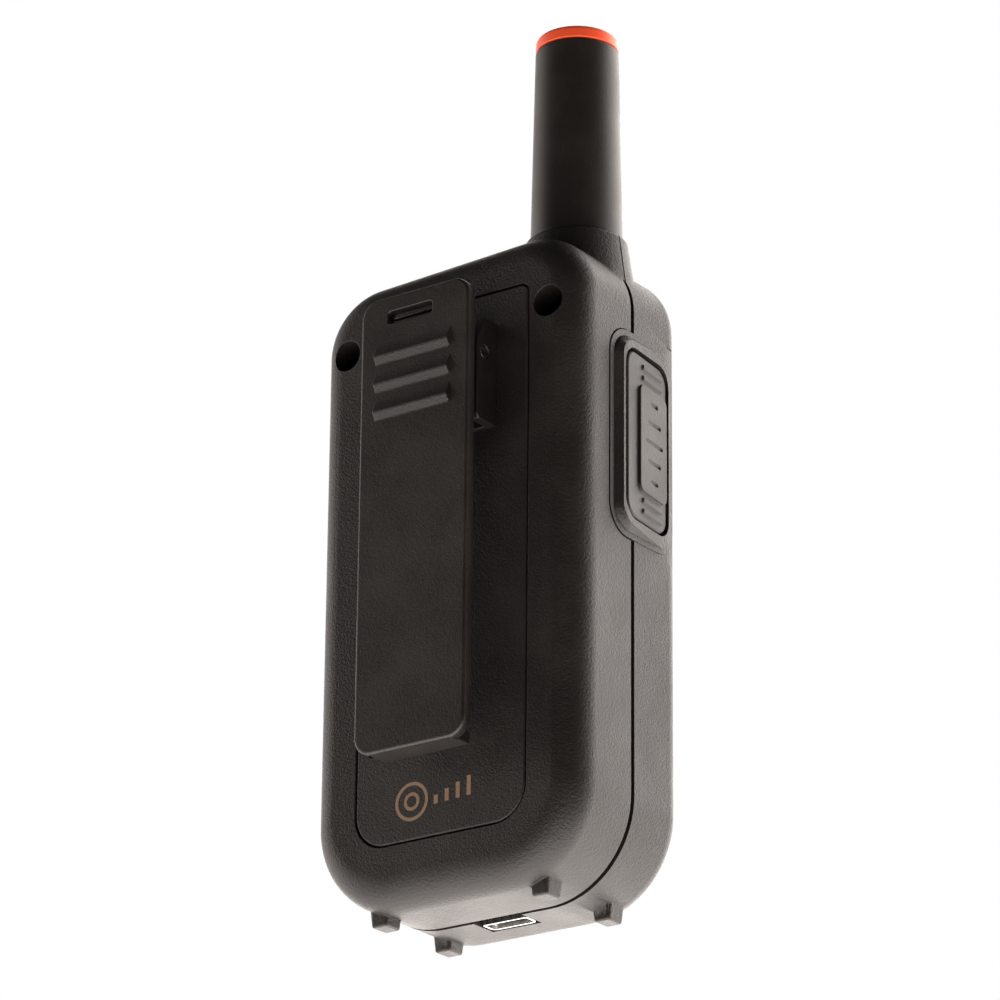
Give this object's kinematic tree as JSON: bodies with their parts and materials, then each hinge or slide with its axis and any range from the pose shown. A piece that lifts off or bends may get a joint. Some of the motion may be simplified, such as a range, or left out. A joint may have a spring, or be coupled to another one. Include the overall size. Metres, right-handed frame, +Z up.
{
  "type": "portable radio",
  "caption": "Compact handheld two-way radio with a short fixed antenna, sprung belt clip, side talk button, front display and keys, speaker slots and a bottom charging socket.",
  "frame": {"origin": "on the resting plane, midway between the four feet and in the plane where the two case shells meet", "axes": "+Z up along the case toward the antenna, +Y toward the belt clip at the back, -Y out of the keypad face, -X toward the side with the antenna and the talk button"},
  "size_m": [0.0479, 0.0351, 0.1344],
  "materials": {
    "case": "fine spark-textured black plastic",
    "clip": "fine-grained black plastic",
    "cap": "orange-red moulded plastic",
    "button": "soft-touch black",
    "key": "matt dark grey rubber",
    "window": "dark tinted acrylic",
    "display": "grey-green liquid crystal",
    "light_plastic": "white moulded plastic",
    "steel": "plated steel",
    "spring_steel": "spring steel",
    "brass": "plain brass",
    "copper": "copper winding",
    "board": "green solder mask",
    "chip": "black epoxy",
    "cell": "shrink-wrapped cell",
    "foam": "black foam",
    "felt": "acoustic cloth",
    "speaker": "grey sintered magnet",
    "paper": "speaker diaphragm"
  },
  "bodies": {
    "case": {"rear_case": "case", "front_case": "case", "back_panel": "case", "case_screws": "steel", "clip_bracket": "clip", "clip_pin": "steel", "antenna_sleeve": "button", "antenna_cap": "cap", "antenna_core": "brass", "antenna_winding": "copper", "display_window": "window", "display_module": "display", "display_holder": "light_plastic", "speaker_frame": "steel", "speaker_magnet": "speaker", "speaker_cone": "paper", "speaker_felt": "felt", "microphone": "steel", "microphone_boot": "key", "main_board": "board", "shield_can": "steel", "radio_chips": "chip", "key_domes": "steel", "key_mat": "key", "talk_switch": "chip", "socket_shell": "steel", "socket_tongue": "chip", "battery_cell": "cell", "battery_foam": "foam", "battery_plug": "light_plastic"},
    "clip": {"belt_clip": "clip", "clip_spring": "spring_steel"},
    "talk": {"talk_button": "button"},
    "power": {"power_key": "key"},
    "menu": {"menu_key": "key"},
    "up": {"up_key": "key"},
    "down": {"down_key": "key"}
  },
  "joints": [
    {"name": "clip_hinge", "type": "hinge", "parent": "case", "child": "clip", "pos_m": [0, 0.0168, 0.0796], "axis": [1, 0, 0], "range_deg": [0, 12], "stiffness_Nm_per_rad": 0.6, "springref_deg": -17.19},
    {"name": "talk_press", "type": "slide", "parent": "case", "child": "talk", "axis": [1, 0, 0], "range_m": [0, 0.0008], "stiffness_N_per_m": 1500, "springref_m": -0.0008},
    {"name": "power_press", "type": "slide", "parent": "case", "child": "power", "axis": [0, 1, 0], "range_m": [0, 0.0005], "stiffness_N_per_m": 1500, "springref_m": -0.0005},
    {"name": "menu_press", "type": "slide", "parent": "case", "child": "menu", "axis": [0, 1, 0], "range_m": [0, 0.0005], "stiffness_N_per_m": 1500, "springref_m": -0.0005},
    {"name": "up_press", "type": "slide", "parent": "case", "child": "up", "axis": [0, 1, 0], "range_m": [0, 0.0005], "stiffness_N_per_m": 1500, "springref_m": -0.0005},
    {"name": "down_press", "type": "slide", "parent": "case", "child": "down", "axis": [0, 1, 0], "range_m": [0, 0.0005], "stiffness_N_per_m": 1500, "springref_m": -0.0005}
  ]
}
